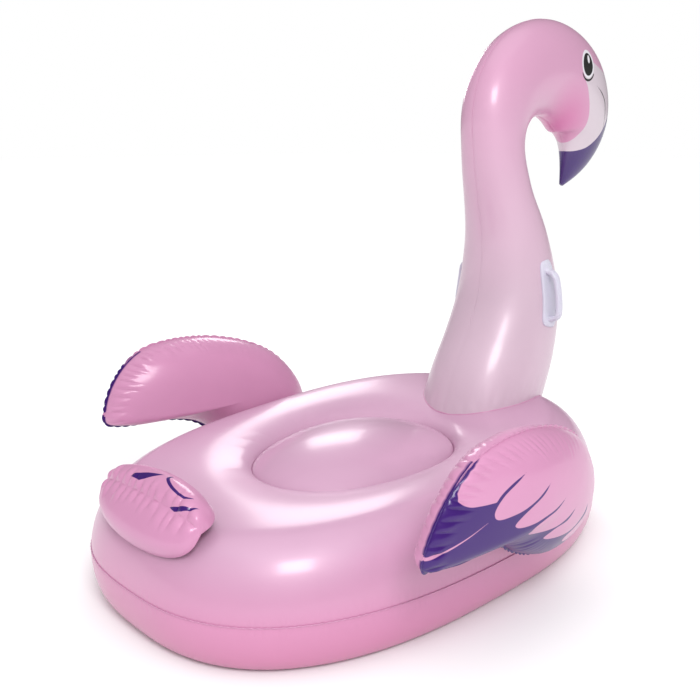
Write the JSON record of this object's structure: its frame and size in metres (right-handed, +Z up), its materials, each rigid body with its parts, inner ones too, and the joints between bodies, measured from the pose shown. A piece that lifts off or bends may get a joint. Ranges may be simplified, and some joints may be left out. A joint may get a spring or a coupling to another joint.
{
  "type": "inflatable pool float",
  "caption": "Inflatable ride-on pool float shaped like a flamingo, with a cushioned seat well, curved neck, wings, tail, grab handles and safety valves.",
  "frame": {"origin": "middle of the flat base, on the ground", "axes": "+Z up, the bird faces -Y, its right side is -X"},
  "size_m": [1.07, 1.4608, 1.1307],
  "materials": {
    "pearl_film": "pearly glossy soft vinyl",
    "lower_film": "glossy soft vinyl, darker pink",
    "wing_film": "glossy soft vinyl with printed purple feathers",
    "handle_plastic": "satin moulded white vinyl",
    "valve_vinyl": "translucent soft vinyl"
  },
  "bodies": {
    "hull": {"hull_top_panel": "pearl_film", "hull_bottom_panel": "lower_film", "seat_panel": "pearl_film", "seat_baffle": "valve_vinyl", "tail_top_panel": "wing_film", "tail_bottom_panel": "wing_film", "hull_valve_flange": "valve_vinyl"},
    "neck": {"neck_right_panel": "pearl_film", "neck_left_panel": "pearl_film", "handle_right_plate": "handle_plastic", "handle_right_grip": "handle_plastic", "handle_left_plate": "handle_plastic", "handle_left_grip": "handle_plastic", "neck_valve_flange": "valve_vinyl"},
    "wing_right": {"wing_right_outer_panel": "wing_film", "wing_right_inner_panel": "wing_film"},
    "wing_left": {"wing_left_outer_panel": "wing_film", "wing_left_inner_panel": "wing_film"},
    "hull_valve_slider": {"hull_valve_stem": "valve_vinyl"},
    "hull_valve_cap": {"hull_valve_plug": "valve_vinyl"},
    "hull_valve_check": {"hull_valve_flap": "valve_vinyl"},
    "neck_valve_slider": {"neck_valve_stem": "valve_vinyl"},
    "neck_valve_cap": {"neck_valve_plug": "valve_vinyl"},
    "neck_valve_check": {"neck_valve_flap": "valve_vinyl"}
  },
  "joints": [
    {"name": "neck_rock", "type": "hinge", "parent": "hull", "child": "neck", "pos_m": [0, -0.434, 0.262], "axis": [1, 0, 0], "range_deg": [-4, 4], "stiffness_Nm_per_rad": 150},
    {"name": "wing_right_fold", "type": "hinge", "parent": "hull", "child": "wing_right", "pos_m": [-0.4, 0, 0.13], "axis": [0, -1, 0], "range_deg": [0, 12], "stiffness_Nm_per_rad": 25},
    {"name": "wing_left_fold", "type": "hinge", "parent": "hull", "child": "wing_left", "pos_m": [0.4, 0, 0.13], "axis": [0, 1, 0], "range_deg": [0, 12], "stiffness_Nm_per_rad": 25},
    {"name": "hull_valve_push", "type": "slide", "parent": "hull", "child": "hull_valve_slider", "axis": [-0.729, 0.6337, -0.2588], "range_m": [0, 0.0115]},
    {"name": "hull_valve_plug_hinge", "type": "hinge", "parent": "hull_valve_slider", "child": "hull_valve_cap", "pos_m": [0.29741, -0.47092, 0.17299], "axis": [-0.6561, -0.7547, 0], "range_deg": [0, 140]},
    {"name": "hull_valve_flap_hinge", "type": "hinge", "parent": "hull_valve_slider", "child": "hull_valve_check", "pos_m": [0.27799, -0.45404, 0.16082], "axis": [0.6561, 0.7547, 0], "range_deg": [0, 45], "stiffness_Nm_per_rad": 0.004},
    {"name": "neck_valve_push", "type": "slide", "parent": "neck", "child": "neck_valve_slider", "axis": [-0.8325, 0.4806, -0.2756], "range_m": [0, 0.0115]},
    {"name": "neck_valve_plug_hinge", "type": "hinge", "parent": "neck_valve_slider", "child": "neck_valve_cap", "pos_m": [0.10233, -0.54841, 0.64925], "axis": [-0.5, -0.866, 0], "range_deg": [0, 140]},
    {"name": "neck_valve_flap_hinge", "type": "hinge", "parent": "neck_valve_slider", "child": "neck_valve_check", "pos_m": [0.08024, -0.53565, 0.63663], "axis": [0.5, 0.866, 0], "range_deg": [0, 45], "stiffness_Nm_per_rad": 0.004}
  ]
}
